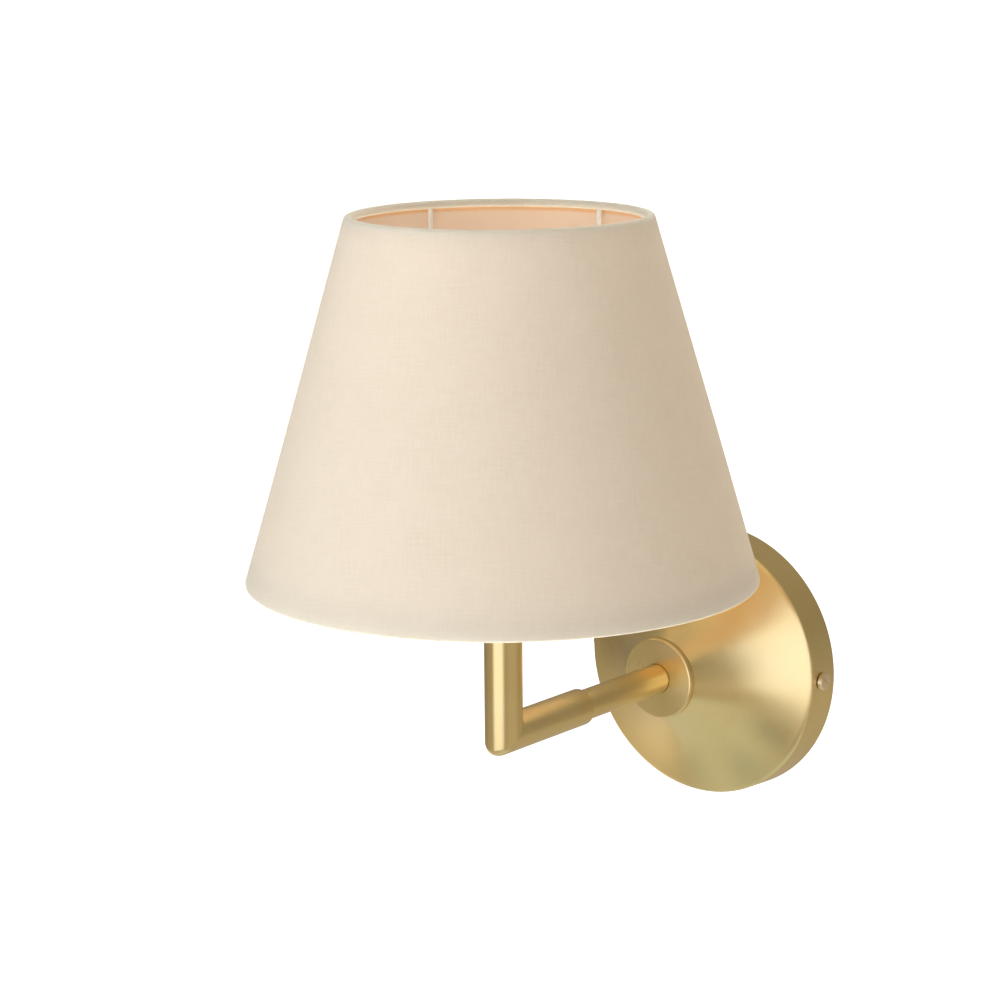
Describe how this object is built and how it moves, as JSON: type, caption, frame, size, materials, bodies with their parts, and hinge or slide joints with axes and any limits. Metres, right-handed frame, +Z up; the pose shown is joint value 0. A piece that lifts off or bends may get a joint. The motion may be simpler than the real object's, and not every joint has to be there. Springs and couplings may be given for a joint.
{
  "type": "swing arm wall sconce",
  "caption": "Brass wall sconce with a trumpet-shaped cover, a straight arm with a swivelling elbow, and a cream empire shade over a small bulb.",
  "frame": {"origin": "centre of the wall bracket's back face, which lies on the wall", "axes": "-Y out of the wall along the arm, +Z up along the lamp's upright, +X to the right for someone facing the wall"},
  "size_m": [0.1984, 0.2499, 0.2632],
  "materials": {
    "satin_brass": "satin brushed, clear lacquered",
    "turned_brass": "bright turned",
    "zinc_steel": "zinc plated",
    "coated_wire": "white powder coat",
    "cream_cloth": "fine slubbed cotton",
    "peach_lining": "translucent matt film",
    "black_plastic": "moulded",
    "white_plastic": "moulded, light gloss",
    "red_fibre": "pressed fibre",
    "opal_glass": "opal white",
    "bulb_metal": "rolled thread",
    "bulb_solder": "solder button",
    "flex": "gold sheathed flex",
    "brown_core": "insulation",
    "blue_core": "insulation",
    "earth_core": "green and yellow insulation"
  },
  "bodies": {
    "wall_mount": {"wall_bracket": "zinc_steel", "side_screw_right": "turned_brass", "side_screw_left": "turned_brass", "earth_screw": "turned_brass", "earth_tag_wall": "zinc_steel", "terminal_block": "white_plastic", "terminal_live": "turned_brass", "terminal_neutral": "turned_brass", "core_live": "brown_core", "core_neutral": "blue_core", "earth_lead": "earth_core", "flex_arm": "flex", "wall_cover": "satin_brass", "arm_flange": "satin_brass", "threaded_nipple": "turned_brass", "nipple_bush": "black_plastic", "nipple_washer": "zinc_steel", "earth_tag_arm": "zinc_steel", "nipple_nut": "turned_brass", "arm_tube": "satin_brass", "swivel_spigot": "turned_brass", "swivel_washer": "red_fibre", "swivel_nut": "turned_brass"},
    "elbow": {"elbow_tube": "satin_brass", "swivel_collar": "turned_brass", "flex_lamp": "flex", "tube_end_bush": "turned_brass", "holder_nipple": "turned_brass", "holder_locknut": "turned_brass", "holder_cap": "white_plastic", "holder_body": "white_plastic", "holder_shell": "turned_brass", "holder_contact": "turned_brass"},
    "shade": {"shade_top_ring": "coated_wire", "shade_strut_1": "coated_wire", "shade_strut_2": "coated_wire", "shade_strut_3": "coated_wire", "shade_strut_4": "coated_wire", "shade_strut_5": "coated_wire", "shade_fitter": "coated_wire", "shade_bottom_ring": "coated_wire", "shade_cover": "cream_cloth", "shade_liner": "peach_lining"},
    "ring": {"shade_ring": "white_plastic"},
    "bulb_lift": {"bulb_tip": "bulb_solder"},
    "bulb": {"bulb_cap": "bulb_metal", "bulb_glass": "opal_glass"}
  },
  "joints": [
    {"name": "arm_swivel", "type": "hinge", "parent": "wall_mount", "child": "elbow", "pos_m": [0, -0.118, 0], "axis": [0, -1, 0], "range_deg": [-155, 155]},
    {"name": "shade_turn", "type": "hinge", "parent": "elbow", "child": "shade", "pos_m": [0, -0.1506, 0.131], "axis": [0, 0, 1], "continuous": true},
    {"name": "ring_turn", "type": "hinge", "parent": "elbow", "child": "ring", "pos_m": [0, -0.1506, 0.1343], "axis": [0, 0, 1], "range_deg": [0, 360]},
    {"name": "bulb_rise", "type": "slide", "parent": "elbow", "child": "bulb_lift", "axis": [0, 0, 1], "range_m": [0, 0.00564]},
    {"name": "bulb_turn", "type": "hinge", "parent": "bulb_lift", "child": "bulb", "pos_m": [0, -0.1506, 0.144], "axis": [0, 0, 1], "range_deg": [0, 720]}
  ],
  "couplings": [
    {"joint": "bulb_rise", "follows": "bulb_turn", "m_per_rad": 0.000448}
  ]
}
